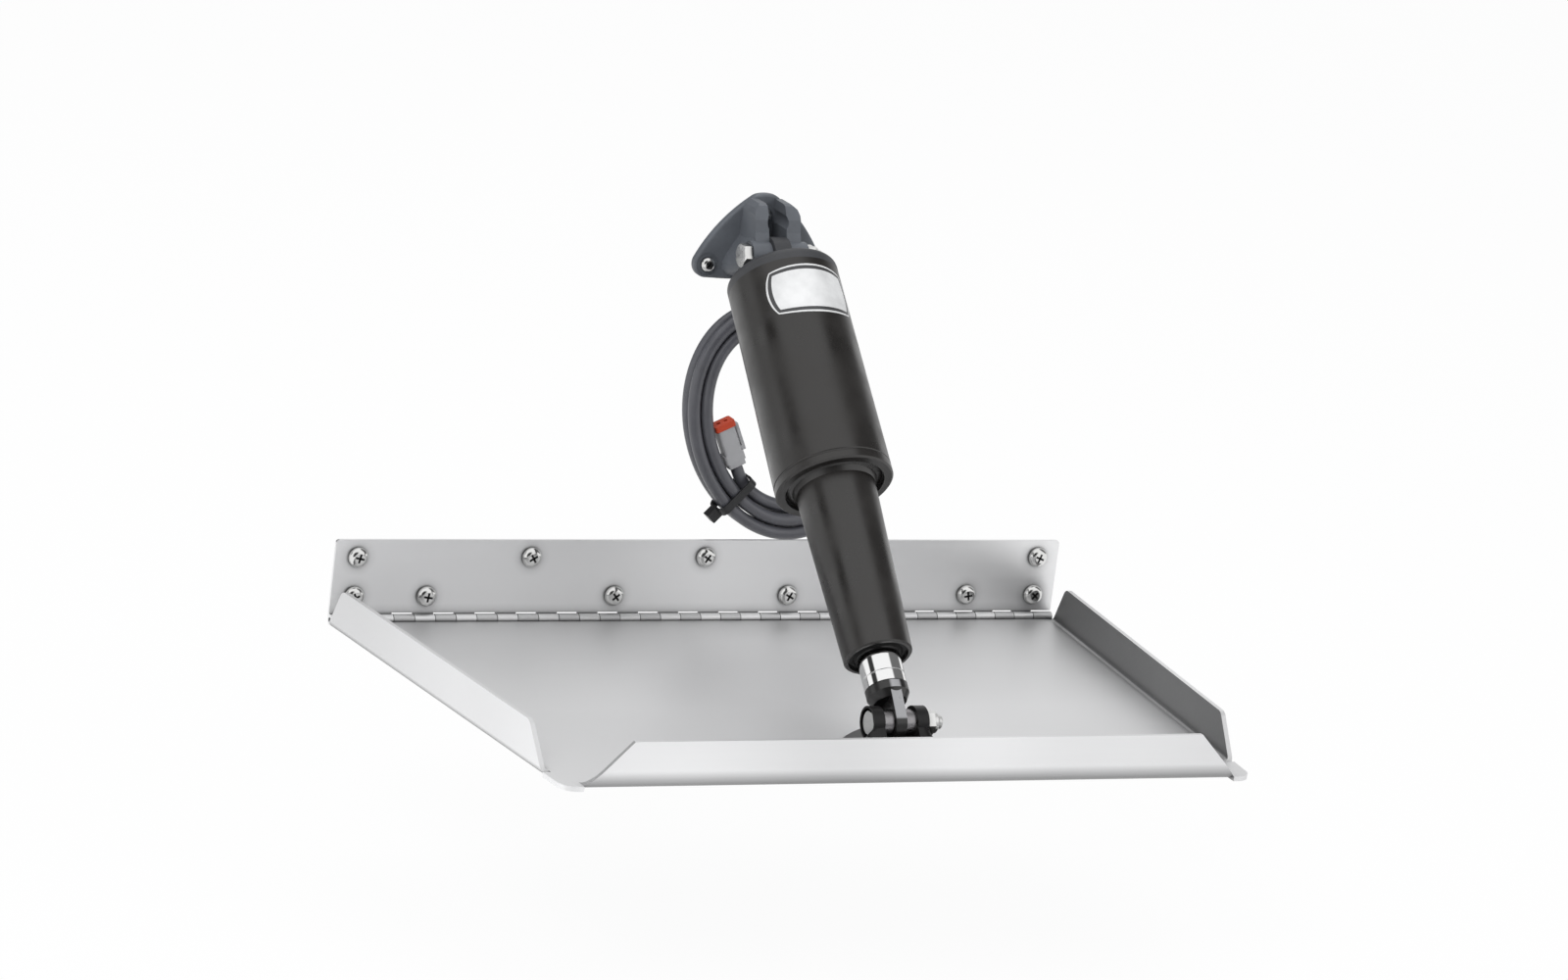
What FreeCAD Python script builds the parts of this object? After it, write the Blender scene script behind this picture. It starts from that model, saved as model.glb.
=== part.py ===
import FreeCAD
import Part
import math
import os
from FreeCAD import Matrix, Vector

# Boat trim tab: a stainless blade hinged to a transom plate and moved by an electric actuator.
# Millimetres. X runs across the boat, Y points into the transom, Z is up.
# The origin is the middle of the transom plate's back face, between its two rows of screws.

# Transom plate
plate_width = 457.2
plate_sheet = 1.9
plate_top = 21.5
plate_corner = 2.0
row_spacing = 23.0
corner_screw_inset = 13.6
upper_screw_x = 109.0
lower_inner_screw_x = 55.0
lower_outer_screw_x = 171.0

# Plate screws
screw_shank = 5.5
screw_neck = 5.0
screw_head = 11.8
screw_head_height = 4.2
screw_length = 28.0
screw_point = 5.0
screw_clearance = 0.3
neck_step = 0.1
head_dome = [(0.5, 1.0), (0.86, 0.68), (1.0, 0.0)]

# Hinge
hinge_drop = 25.1
pin_diameter = 2.4
pin_clearance = 0.05
knuckle_wall = 1.85
knuckle_pitch = 12.7
knuckle_gap = 0.4
edge_relief = 0.5

# Blade
blade_sheet = 2.7
blade_chord = 304.8
fin_outside = 2.7
blade_taper = 25.0
fin_height = 22.5
fin_bend = 2.0
fin_rear_lean = 14.0
fin_front_lean = 21.4
fin_tail_gap = 28.8
fin_corner = 6.0
lip_height = 25.5
lip_bend = 9.5
lip_foot_inset = 11.3
lip_mitre = 25.0
tail_corner_inset = 3.0
tail_corner_radius = 10.0

# Brackets: a three-lobed flange with two ears
bracket_x = 9.6
flange_thickness = 4.4
flange_screw_half = 32.0
flange_apex = 29.6
flange_top_lobe = 33.2
flange_lobe = 8.1
flange_side_bow = 2.8
flange_foot_bow = 0.8
flange_top_bow = 0.3
flange_top_half = 3.0
flange_edge_round = 1.6
flank_sink = 1.0
flank_half = 16.5
flank_apex = 22.0
flank_lobe = 7.0
flank_bow = 0.6
upper_ear_outer = 17.2
upper_shoulder = 14.2
lower_ear_outer = 16.8
lower_ear_inner = 10.0
upper_ear_inner = 5.5
lower_ear_radius = 9.3
upper_ear_radius = 8.6
ear_corner = 4.0
upper_ear_side = [(-4.0, 4.0), (39.5, 4.0), (39.5, 14.0), (38.2, 18.3), (31.0, 23.2), (24.2, 24.6), (18.8, 27.0),
                  (10.0, 33.0), (2.0, 27.0)]
upper_ear_front = [(14.2, -4.0), (14.2, 33.5), (13.0, 36.5), (9.8, 39.0)]
crown_bow = 0.05
pocket_radius = 6.6
pocket_floor = 4.0
bracket_screw = 4.8
bracket_screw_neck = 4.4
bracket_screw_head = 8.6
bracket_screw_head_height = 3.4
bracket_screw_length = 30.0
bolt_point = 0.8

# Pivots: the pair row of screws, the pivot's place above it and its stand-off
upper_pair_z = 186.0
upper_pivot_rise = 10.7
upper_pivot_standoff = 26.0
lower_pair_to_tail = 43.8
lower_pivot_rise = 13.1
lower_pivot_standoff = 16.0
pivot_bolt = 7.9
pivot_clearance = 0.05
pivot_head_flats = 12.7
pivot_head_height = 5.3
head_corner_rise = 0.8
head_corner_cut = 1.1
head_face_edge = 0.1
bolt_end_round = 0.8
upper_head_sink = 0.3
lower_head_sink = 6.0
head_pocket_radius = 8.2
pivot_nut_height = 8.0
nut_hex_share = 0.65
nut_collar_inset = 0.2
nut_collar_round = 1.0
pivot_bolt_tail = 2.8
tongue_thickness = 6.4
lug_thickness = 10.4
tongue_clearance = 0.3
bush_diameter = 14.5
lug_bush_diameter = 11.0
lower_eye_clearance = 1.5
nut_flats = 9.5
nut_height = 6.5
bolt_tail = 3.0

# Actuator, measured down its axis from the upper pivot
lug_radius = 11.0
cap_face = 13.2
cap_rim = 7.6
cap_round = 4.0
cap_spigot = 12.5
housing_top_diameter = 64.0
housing_end_diameter = 67.2
housing_bore = 56.6
housing_end = 153.2
housing_rim_band = 6.5
housing_band_depth = 0.35
housing_band_width = 1.6
housing_band_slope = 0.5
housing_edge = 1.0
fit_clearance = 0.1
face_gap = 0.2
overcut = 1.0
sleeve_plug = 18.0
sleeve_recess = 2.8
sleeve_flare = 5.0
flare_waist = 0.3
flare_drop = 0.4
sleeve_edge = 0.8
sleeve_seat_wall = 4.0
journal_clearance = 1.0
sleeve_top_diameter = 45.4
sleeve_end_diameter = 38.8
sleeve_bore = 27.0
mouth_diameter = 34.0
mouth_depth = 7.0
wiper_height = 5.0
wiper_lip_wide = 2.2
wiper_lip_narrow = 0.8
wiper_lip_height = 1.2
wiper_setback = 0.4
guide_bush_length = 12.0
guide_bush_diameter = 31.0
ram_diameter = 24.0
ram_bore = 14.0
ram_visible = 19.5
ram_end_reach = 21.12
ram_groove_up = 6.3
ram_groove_depth = 0.35
ram_groove_half = 0.2
ram_groove_slope = 0.3
ram_bore_lead = 5.0
collar_height = 5.0
collar_edge = 0.5
tongue_inset = 0.6
lower_ear_clearance = 2.5
collar_taper = 8.0
collar_taper_diameter = 15.0
ram_spigot = 12.0
ram_spigot_length = 11.0
tongue_eye_radius = 9.5
oring_section = 2.4
oring_setback = 4.0
oring_flats = 8
groove_side_gap = 0.2

# Drive train inside the housing
motor_diameter = 33.0
motor_length = 72.0
motor_shaft = 4.0
motor_boss = 12.0
motor_edge = 2.0
motor_boss_height = 2.5
motor_shaft_depth = 18.0
gearbox_plate_thickness = 4.0
gear_module = 0.5
pinion_teeth = 12
gear_teeth = 33
gear_width = 8.0
gear_end_gap = 2.0
gear_addendum = 0.34
gear_dedendum = 0.56
gear_backlash = 0.16
flank_slope = 0.36
gear_press = 0.01
pinion_press = 0.2
bearing_diameter = 28.0
bearing_width = 8.0
screw_diameter = 10.0
screw_reach = 9.0
screw_edge = 0.8
screw_end_gap = 0.3
screw_collar_wall = 3.0
bearing_gap = 0.1
nut_diameter = 26.4
drive_nut_length = 15.0
nut_spigot = 7.0
nut_below_plug = 4.0
ram_stroke = 57.2

# Cable: its size, the gland on the cap, and the points it follows from the cap to the coil
cable_diameter = 7.5
cable_offset = 17.4
gland_diameter = 12.0
gland_tip_diameter = 9.6
gland_length = 5.0
gland_shoulder = 2.5
grommet_clearance = 0.05
grommet_wall = 1.6
grommet_lip = 1.6
cable_turn_lead = 12.0
cable_behind = 11.0
cable_points = [(17.0, 20.5, 183.5), (28.5, 21.5, 177.0), (41.5, 20.3, 168.0), (50.8, 20.0, 160.4)]
coil_centre = Vector(45.4, 20.0, 87.3)
coil_tilt = 26.2
coil_half_width = 57.1
coil_half_height = 75.3
coil_bundle = 16.0
coil_depth = 15.0
coil_edge = 4.5
tail_lead = 10.6
tail_points = [(32.1, 20.0, 45.5), (39.2, 20.0, 40.6), (49.9, 20.0, 36.1)]
tie_angle = 207.0
tie_width = 4.8
tie_thickness = 1.3
tie_gap = 0.2
tie_reach = 24.4
tie_head = (6.5, 6.5, 6.4)

# Connector, hanging inside the coil
connector_foot = Vector(22.2, 20.0, 60.8)
connector_lean = 25.0
connector_width = 10.8
connector_depth = 9.0
connector_length = 24.5
connector_corner = 1.4
wedge_width = 12.8
wedge_depth = 9.6
wedge_height = 3.6
latch_width = 3.0
latch_thickness = 1.8
latch_length = 17.0
contact_diameter = 2.6
contact_spacing = 4.6
contact_foot = 3.0
shoulder_step = 0.8
shoulder_from = 0.12
shoulder_to = 0.34
latch_root = 0.5
latch_half = 2.2
latch_relief = 3.0

# Places worked out from the sizes above
corner_screw_x = plate_width / 2 - corner_screw_inset
blade_half_hinge = plate_width / 2 + fin_outside
blade_half_tail = blade_half_hinge - blade_taper
fin_front_foot = blade_chord - fin_tail_gap
fin_front_top = fin_front_foot - fin_front_lean
lip_half_foot = blade_half_tail - lip_foot_inset
lip_half_top = lip_half_foot - lip_mitre
knuckle_radius = pin_diameter / 2 + pin_clearance + knuckle_wall
hinge_y = -knuckle_radius
hinge_z = -hinge_drop
blade_top = hinge_z - knuckle_radius + blade_sheet
blade_rear_y = hinge_y - knuckle_radius - edge_relief
plate_foot = hinge_z + knuckle_radius + edge_relief
knuckle_count = round(plate_width / knuckle_pitch)
pitch = plate_width / knuckle_count
upper_pivot = Vector(bracket_x, -upper_pivot_standoff, upper_pair_z + upper_pivot_rise)
lower_pair_y = blade_chord - lower_pair_to_tail
lower_pivot = Vector(bracket_x, -lower_pair_y + lower_pivot_rise, blade_top + lower_pivot_standoff)
axis_down = (lower_pivot - upper_pivot).normalize()
axis_out = axis_down.cross(Vector(1, 0, 0))
pivot_distance = (lower_pivot - upper_pivot).Length
coil_side = Vector(math.cos(math.radians(coil_tilt)), 0, math.sin(math.radians(coil_tilt)))
coil_up = Vector(-coil_side.z, 0, coil_side.x)
connector_up = Vector(-math.sin(math.radians(connector_lean)), 0, math.cos(math.radians(connector_lean)))
cap_radius = housing_top_diameter / 2
bore_radius = housing_bore / 2
rim_foot = cap_face + cap_rim
plug_foot = housing_end - sleeve_recess
plug_top = plug_foot - sleeve_plug
ram_foot = pivot_distance - ram_end_reach
sleeve_end = ram_foot - ram_visible
nut_top = plug_foot + nut_below_plug
gear_foot = plug_top - gear_end_gap
gear_top = gear_foot - gear_width
plate_under = gear_top - gear_end_gap
motor_foot = plate_under - gearbox_plate_thickness
gear_distance = gear_module * (gear_teeth + pinion_teeth) / 2
screw_foot = nut_top + ram_stroke + drive_nut_length + screw_reach


def box(x0, x1, y0, y1, z0, z1):
    return Part.makeBox(x1 - x0, y1 - y0, z1 - z0, Vector(x0, y0, z0))


def rod(base, axis, radius, length):
    return Part.makeCylinder(radius, length, base, axis)


def prism(points, path):
    """A closed outline of points pulled along a path."""
    corners = [Vector(*p) for p in points]
    return Part.Face(Part.makePolygon(corners + corners[:1])).extrude(path)


def turned(profile):
    """A solid turned about Z from its half section, given as (radius, height) points."""
    corners = [Vector(r, 0, z) for r, z in profile]
    face = Part.Face(Part.makePolygon(corners + corners[:1]))
    return face.revolve(Vector(0, 0, 0), Vector(0, 0, 1), 360)


def ring(outer, inner, z0, z1):
    return turned([(inner, z0), (outer, z0), (outer, z1), (inner, z1)])


def hexagon(flats, height):
    corner = flats / math.sqrt(3)
    turns = [math.radians(60 * i) for i in range(6)]
    return prism([(corner * math.cos(a), corner * math.sin(a), 0) for a in turns], Vector(0, 0, height))


def placed(shape, origin, x_axis, y_axis, z_axis):
    """The shape carried from its own axes to the ones given."""
    m = Matrix(
        x_axis.x, y_axis.x, z_axis.x, origin.x,
        x_axis.y, y_axis.y, z_axis.y, origin.y,
        x_axis.z, y_axis.z, z_axis.z, origin.z,
        0, 0, 0, 1,
    )
    moved = shape.copy()
    moved.Placement = FreeCAD.Placement(m).multiply(shape.Placement)
    return moved


def on_transom(shape):
    """From a bracket's own axes (across, up the face, out of the face) to the transom."""
    x, y, z = Vector(1, 0, 0), Vector(0, 0, 1), Vector(0, -1, 0)
    return placed(shape, Vector(bracket_x, 0, upper_pair_z), x, y, z)


def on_blade(shape):
    """From a bracket's own axes to the blade's upper face."""
    x, y, z = Vector(1, 0, 0), Vector(0, 1, 0), Vector(0, 0, 1)
    return placed(shape, Vector(bracket_x, -lower_pair_y, blade_top), x, y, z)


def on_actuator(shape):
    """From the actuator's own axes (Z down its length from the upper pivot)."""
    return placed(shape, upper_pivot, Vector(1, 0, 0), axis_out, axis_down)


def across(shape, pivot):
    """From an axis of Z to one along X through a pivot."""
    return placed(shape, pivot, Vector(0, 1, 0), Vector(0, 0, 1), Vector(1, 0, 0))


def rounded(shape, radius, wanted):
    return shape.makeFillet(radius, [e for e in shape.Edges if wanted(e)])


def upright(edge):
    a, b = edge.Vertexes[0].Point, edge.Vertexes[-1].Point
    return abs((b - a).normalize().z) > 0.99


def plate_screw_places():
    rows = [(-corner_screw_x, 1), (-upper_screw_x, 1), (0, 1), (upper_screw_x, 1), (corner_screw_x, 1)]
    for x in (corner_screw_x, lower_outer_screw_x, lower_inner_screw_x):
        rows += [(-x, -1), (x, -1)]
    return [Vector(x, 0, side * row_spacing / 2) for x, side in rows]


def bracket_screw_places():
    return [(-flange_screw_half, 0), (flange_screw_half, 0), (0, flange_apex)]


def knuckle(index):
    """One rolled barrel of the hinge, without its bore."""
    start = -plate_width / 2 + index * pitch + knuckle_gap / 2
    return start, rod(Vector(start, hinge_y, hinge_z), Vector(1, 0, 0), knuckle_radius, pitch - knuckle_gap)


def pin_bore():
    ends = Vector(-plate_width, hinge_y, hinge_z)
    return rod(ends, Vector(1, 0, 0), pin_diameter / 2 + pin_clearance, 2 * plate_width)


def transom_plate():
    half = plate_width / 2
    sheet = box(-half, half, -plate_sheet, 0, plate_foot, plate_top)
    for index in range(0, knuckle_count, 2):
        start, barrel = knuckle(index)
        web = box(start, start + pitch - knuckle_gap, -plate_sheet, 0, hinge_z, plate_foot)
        sheet = sheet.fuse([barrel, web])
    sheet = sheet.removeSplitter()
    top_corners = lambda e: len(e.Vertexes) == 2 and abs(e.CenterOfMass.z - plate_top) < 0.01 \
        and abs(abs(e.CenterOfMass.x) - half) < 0.01
    sheet = rounded(sheet, plate_corner, top_corners)
    hole = screw_neck / 2 + screw_clearance
    holes = [rod(p - Vector(0, 2 * plate_sheet, 0), Vector(0, 1, 0), hole, 4 * plate_sheet)
             for p in plate_screw_places()]
    return sheet.cut([pin_bore()] + holes)


def hinge_pin():
    return rod(Vector(-plate_width / 2, hinge_y, hinge_z), Vector(1, 0, 0), pin_diameter / 2, plate_width)


def pan_screw(head, height, neck, neck_length, shank, length, point):
    """A screw that stands head down on Z = 0 and runs up to its point."""
    head_r, neck_r, shank_r = head / 2, neck / 2, shank / 2
    dome = [(r * head_r, -z * height) for r, z in head_dome]
    return turned([(0, -height)] + dome + [(neck_r, 0), (neck_r, neck_length), (shank_r, neck_length + neck_step),
                                           (shank_r, length - point), (0, length)])


def plate_screws():
    screw = pan_screw(screw_head, screw_head_height, screw_neck, plate_sheet, screw_shank,
                      screw_length, screw_point)
    x, y, z = Vector(1, 0, 0), Vector(0, 0, -1), Vector(0, 1, 0)
    return Part.makeCompound([placed(screw, p - Vector(0, plate_sheet, 0), x, y, z)
                              for p in plate_screw_places()])


def fin_outer(y):
    """Half the blade's width over its fins at a place along the chord."""
    return blade_half_hinge + (blade_half_hinge - blade_half_tail) * y / blade_chord


def blade_floor():
    slant = math.atan((blade_half_hinge - blade_half_tail) / blade_chord)
    inset = (fin_bend + blade_sheet) / math.cos(slant)
    tail = -blade_chord + tail_corner_inset
    lip_start = -blade_chord + lip_bend + blade_sheet
    side = [(fin_outer(blade_rear_y) - inset, blade_rear_y),
            (fin_outer(-fin_front_foot) - inset, -fin_front_foot),
            (fin_outer(-fin_front_foot), -fin_front_foot),
            (fin_outer(tail), tail), (lip_half_foot, tail), (lip_half_foot, lip_start)]
    outline = side + [(-x, y) for x, y in reversed(side)]
    low = blade_top - blade_sheet
    floor = prism([(x, y, low) for x, y in outline], Vector(0, 0, blade_sheet))
    corners = lambda e: upright(e) and abs(abs(e.CenterOfMass.x) - fin_outer(tail)) < 0.1 \
        and abs(e.CenterOfMass.y - tail) < 0.1
    return rounded(floor, tail_corner_radius, corners)


def bent_edge(height, bend):
    """Half section of a folded edge: its outer face on X = 0, the sheet's upper face on Z = 0."""
    outer = bend + blade_sheet
    c, s = math.cos(math.pi / 4), math.sin(math.pi / 4)
    mid_out = Vector(-outer + outer * c, 0, bend - outer * s)
    mid_in = Vector(-outer + bend * c, 0, bend - bend * s)
    a, b = Vector(-outer, 0, -blade_sheet), Vector(0, 0, bend)
    d, e = Vector(-blade_sheet, 0, bend), Vector(-outer, 0, 0)
    top_out, top_in = Vector(0, 0, height), Vector(-blade_sheet, 0, height)
    edges = [Part.Arc(a, mid_out, b), Part.LineSegment(b, top_out), Part.LineSegment(top_out, top_in),
             Part.LineSegment(top_in, d), Part.Arc(d, mid_in, e), Part.LineSegment(e, a)]
    return Part.Face(Part.Wire([x.toShape() for x in edges]))


def side_fin():
    """The right-hand fin, folded up along the blade's slanted side."""
    slant = math.atan((blade_half_hinge - blade_half_tail) / blade_chord)
    fold = bent_edge(fin_height, fin_bend).extrude(Vector(0, -blade_chord, 0))
    fold.rotate(Vector(0, 0, 0), Vector(0, 0, 1), -math.degrees(slant))
    fold.translate(Vector(blade_half_hinge, 0, blade_top))
    top = blade_top + fin_height
    low = blade_top - blade_sheet
    view = [(0, blade_rear_y, low), (0, blade_rear_y - fin_rear_lean, top),
            (0, -fin_front_top, top), (0, -fin_front_foot, low)]
    window = prism(view, Vector(2 * blade_half_hinge, 0, 0))
    top_corners = lambda e: abs(e.CenterOfMass.z - top) < 0.01 and abs(e.CenterOfMass.x - blade_half_hinge) < 0.1
    return fold.common(rounded(window, fin_corner, top_corners))


def tail_lip():
    fold = bent_edge(lip_height, lip_bend).extrude(Vector(0, 2 * lip_half_foot, 0))
    fold = placed(fold, Vector(-lip_half_foot, -blade_chord, blade_top),
                  Vector(0, -1, 0), Vector(1, 0, 0), Vector(0, 0, 1))
    low, top = blade_top - blade_sheet, blade_top + lip_height
    mitre = [(-lip_half_foot, 0, low), (lip_half_foot, 0, low), (lip_half_foot, 0, blade_top),
             (lip_half_top, 0, top), (-lip_half_top, 0, top), (-lip_half_foot, 0, blade_top)]
    return fold.common(prism(mitre, Vector(0, -2 * blade_chord, 0)))


def blade():
    fin = side_fin()
    body = blade_floor().fuse([fin, fin.mirror(Vector(0, 0, 0), Vector(1, 0, 0)), tail_lip()])
    low = blade_top - blade_sheet
    tabs = []
    for index in range(1, knuckle_count, 2):
        start, barrel = knuckle(index)
        tabs += [barrel, box(start, start + pitch - knuckle_gap, blade_rear_y, hinge_y, low, low + knuckle_wall)]
    body = body.fuse(tabs).removeSplitter()
    hole = bracket_screw_neck / 2 + screw_clearance
    holes = [on_blade(rod(Vector(u, v, -2 * blade_sheet), Vector(0, 0, 1), hole, 4 * blade_sheet))
             for u, v in bracket_screw_places()]
    return body.cut([pin_bore()] + holes)


def lobed_outline(lobes, radius, bows, height):
    """A closed outline that rounds each lobe and bows out between them, every join tangent."""
    points = [Vector(u, v, height) for u, v in lobes]
    count = len(points)
    edges, ends = [], []
    for a, b, bulge in zip(points, points[1:] + points[:1], bows):
        half = (b - a).Length / 2
        along = (b - a).normalize()
        out = along.cross(Vector(0, 0, 1))
        swing = (half * half + bulge * bulge) / (2 * bulge)
        centre = (a + b) * 0.5 - out * (swing - bulge)
        near = a + (a - centre).normalize() * radius
        far = b + (b - centre).normalize() * radius
        edges.append(Part.Arc(near, centre + out * (swing + radius), far).toShape())
        ends.append((near, far))
    for i, lobe in enumerate(points):
        before, after = ends[i - 1][1], ends[i % count][0]
        mid = lobe + ((before - lobe) + (after - lobe)).normalize() * radius
        edges.append(Part.Arc(before, mid, after).toShape())
    return Part.Wire(Part.__sortEdges__(edges))


def flange_outline(radius, height):
    top = flange_top_half
    lobes = [(-flange_screw_half, 0), (flange_screw_half, 0), (top, flange_top_lobe), (-top, flange_top_lobe)]
    return lobed_outline(lobes, radius, (flange_foot_bow, flange_side_bow, flange_top_bow, flange_side_bow), height)


def flank_outline(height):
    lobes = [(-flank_half, 0), (flank_half, 0), (flange_top_half, flank_apex), (-flange_top_half, flank_apex)]
    return lobed_outline(lobes, flank_lobe, (flank_bow, flank_bow, flange_top_bow, flank_bow), height)


def bracket(rise, standoff, ear_inner, ear_outer, ear_radius, head_sink, extra):
    """A moulded bracket on its own axes: flange on Z = 0, ears standing up round the pivot."""
    flange = Part.Face(flange_outline(flange_lobe, 0))
    flange = flange.extrude(Vector(0, 0, flange_thickness))
    flange = rounded(flange, flange_edge_round, lambda e: e.BoundBox.ZMin > flange_thickness - 0.01)
    block = ear_radius - ear_corner
    inner = ear_outer - ear_corner
    crown = [(-inner, rise - block), (inner, rise - block), (inner, rise + block), (-inner, rise + block)]
    head = lobed_outline(crown, ear_corner, (crown_bow, crown_bow, crown_bow, crown_bow), standoff)
    flank = Part.makeLoft([flank_outline(flange_thickness - flank_sink), head], True, True)
    ears = rod(Vector(-ear_outer, rise, standoff), Vector(1, 0, 0), ear_radius, 2 * ear_outer)
    body = flange.fuse([flank, ears] + extra)
    reach = flange_apex + flange_screw_half + 2 * flange_lobe
    slot = box(-ear_inner, ear_inner, -reach, reach, flange_thickness, 3 * standoff)
    pockets = [rod(Vector(u, v, pocket_floor), Vector(0, 0, 1), pocket_radius, 2 * standoff)
               for u, v in bracket_screw_places()]
    bolt_hole = rod(Vector(-2 * ear_outer, rise, standoff), Vector(1, 0, 0),
                    pivot_bolt / 2 + pivot_clearance, 4 * ear_outer)
    head_seat = rod(Vector(-2 * ear_outer, rise, standoff), Vector(1, 0, 0), head_pocket_radius,
                    ear_outer + head_sink)
    screw_holes = [rod(Vector(u, v, -overcut), Vector(0, 0, 1), bracket_screw_neck / 2 + screw_clearance,
                       flange_thickness + 2 * overcut) for u, v in bracket_screw_places()]
    nut_seat = rod(Vector(ear_outer, rise, standoff), Vector(1, 0, 0), head_pocket_radius, ear_outer)
    return body.cut([slot, bolt_hole, head_seat, nut_seat] + pockets + screw_holes).removeSplitter()


def upper_ears():
    """The high shoulders of the upper bracket's ears, narrowing towards their tops."""
    side = prism([(-upper_shoulder, v, w) for v, w in upper_ear_side], Vector(2 * upper_shoulder, 0, 0))
    half = [(u, v, 0) for u, v in upper_ear_front]
    front = prism(half + [(-u, v, w) for u, v, w in reversed(half)], Vector(0, 0, 2 * upper_pivot_standoff))
    return side.common(front)


def cable_hole_height():
    """Where the cable passes through the upper bracket's flange."""
    return cable_start().z + cable_turn_lead * -axis_down.z


def upper_bracket():
    bore = cable_diameter / 2 + grommet_clearance + grommet_wall
    through = rod(Vector(bracket_x, -flange_thickness, cable_hole_height()), Vector(0, 1, 0), bore,
                  2 * flange_thickness)
    depth = grommet_lip + 2 * grommet_clearance
    recess = rod(Vector(bracket_x, -flange_thickness - depth, cable_hole_height()), Vector(0, 1, 0),
                 bore + grommet_lip + grommet_clearance, depth)
    body = bracket(upper_pivot_rise, upper_pivot_standoff, upper_ear_inner, upper_ear_outer,
                   upper_ear_radius, upper_head_sink, [upper_ears()])
    return on_transom(body).cut([through, recess])


def lower_bracket():
    return on_blade(bracket(lower_pivot_rise, lower_pivot_standoff, lower_ear_inner, lower_ear_outer,
                            lower_ear_radius, lower_head_sink, []))


def bracket_fixing(grip, length, point):
    screw = pan_screw(bracket_screw_head, bracket_screw_head_height, bracket_screw_neck, grip,
                      bracket_screw, length, point)
    x, y, z = Vector(1, 0, 0), Vector(0, -1, 0), Vector(0, 0, -1)
    return [placed(screw, Vector(u, v, pocket_floor), x, y, z) for u, v in bracket_screw_places()]


def upper_bracket_screws():
    screws = bracket_fixing(pocket_floor, bracket_screw_length, screw_point)
    return Part.makeCompound([on_transom(s) for s in screws])


def lower_bracket_bolts():
    grip = pocket_floor + blade_sheet
    length = grip + nut_height + bolt_tail
    return Part.makeCompound([on_blade(s) for s in bracket_fixing(grip, length, bolt_point)])


def lower_bracket_nuts():
    nut = hexagon(nut_flats, nut_height).cut(
        rod(Vector(0, 0, -overcut), Vector(0, 0, 1), bracket_screw / 2 + pivot_clearance,
            nut_height + 2 * overcut))
    return Part.makeCompound([on_blade(placed(nut, Vector(u, v, -blade_sheet - nut_height),
                              Vector(1, 0, 0), Vector(0, 1, 0), Vector(0, 0, 1)))
                              for u, v in bracket_screw_places()])


def pivot_bolt_at(pivot, ear_outer, head_sink):
    end = ear_outer + pivot_nut_height + pivot_bolt_tail
    seat = head_sink - ear_outer
    head = hexagon(pivot_head_flats, pivot_head_height)
    face = pivot_head_flats / 2 + head_face_edge
    corner = face + head_corner_cut
    head = head.common(turned([(0, 0), (face, 0), (corner, head_corner_rise), (corner, pivot_head_height),
                               (0, pivot_head_height)]))
    head.translate(Vector(0, 0, seat - pivot_head_height))
    shank = rod(Vector(0, 0, seat), Vector(0, 0, 1), pivot_bolt / 2, end - seat)
    shank = rounded(shank, bolt_end_round, lambda e: e.BoundBox.ZMin > end - 0.01)
    return across(head.fuse(shank), pivot)


def pivot_nut_at(pivot, ear_outer):
    collar_radius = pivot_head_flats / 2 - nut_collar_inset
    nut = hexagon(pivot_head_flats, pivot_nut_height * nut_hex_share)
    collar = turned([(0, 0), (collar_radius, 0), (collar_radius, pivot_nut_height - nut_collar_round),
                     (collar_radius - nut_collar_round, pivot_nut_height), (0, pivot_nut_height)])
    nut = nut.fuse(collar).cut(rod(Vector(0, 0, -overcut), Vector(0, 0, 1), pivot_bolt / 2 + pivot_clearance,
                                   pivot_nut_height + 2 * overcut))
    nut.translate(Vector(0, 0, ear_outer))
    return across(nut, pivot)


def lower_pivot_bushes():
    """Two plain bushes that fill the gap between the lower ears and the tongue."""
    start = tongue_thickness / 2 + tongue_clearance
    bush = ring(bush_diameter / 2, pivot_bolt / 2 + pivot_clearance, start, lower_ear_inner - pivot_clearance)
    other = bush.mirror(Vector(0, 0, 0), Vector(0, 0, 1))
    return Part.makeCompound([across(bush, lower_pivot), across(other, lower_pivot)])


def upper_pivot_bush():
    """The plain bush in the cap's lug, a little longer than the lug is thick."""
    half = upper_ear_inner - 2 * pivot_clearance
    return across(ring(lug_bush_diameter / 2, pivot_bolt / 2 + pivot_clearance, -half, half), upper_pivot)


def tongue(radius, reach, base_half, thickness):
    """A flat tongue with a round eye on Z = 0, widening towards its base at Z = reach."""
    turn = math.asin((radius - base_half) / reach) if abs(radius - base_half) < reach else 0
    y, z = radius * math.cos(turn), radius * math.sin(turn)
    edges = [Part.Arc(Vector(0, y, z), Vector(0, 0, -radius), Vector(0, -y, z)),
             Part.LineSegment(Vector(0, -y, z), Vector(0, -base_half, reach)),
             Part.LineSegment(Vector(0, -base_half, reach), Vector(0, base_half, reach)),
             Part.LineSegment(Vector(0, base_half, reach), Vector(0, y, z))]
    face = Part.Face(Part.Wire([e.toShape() for e in edges]))
    face.translate(Vector(-thickness / 2, 0, 0))
    return face.extrude(Vector(thickness, 0, 0))


def groove_for_oring(radius, place):
    half = oring_section / 2 + groove_side_gap
    return ring(radius + overcut, radius - oring_section, place - half, place + half)


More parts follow.
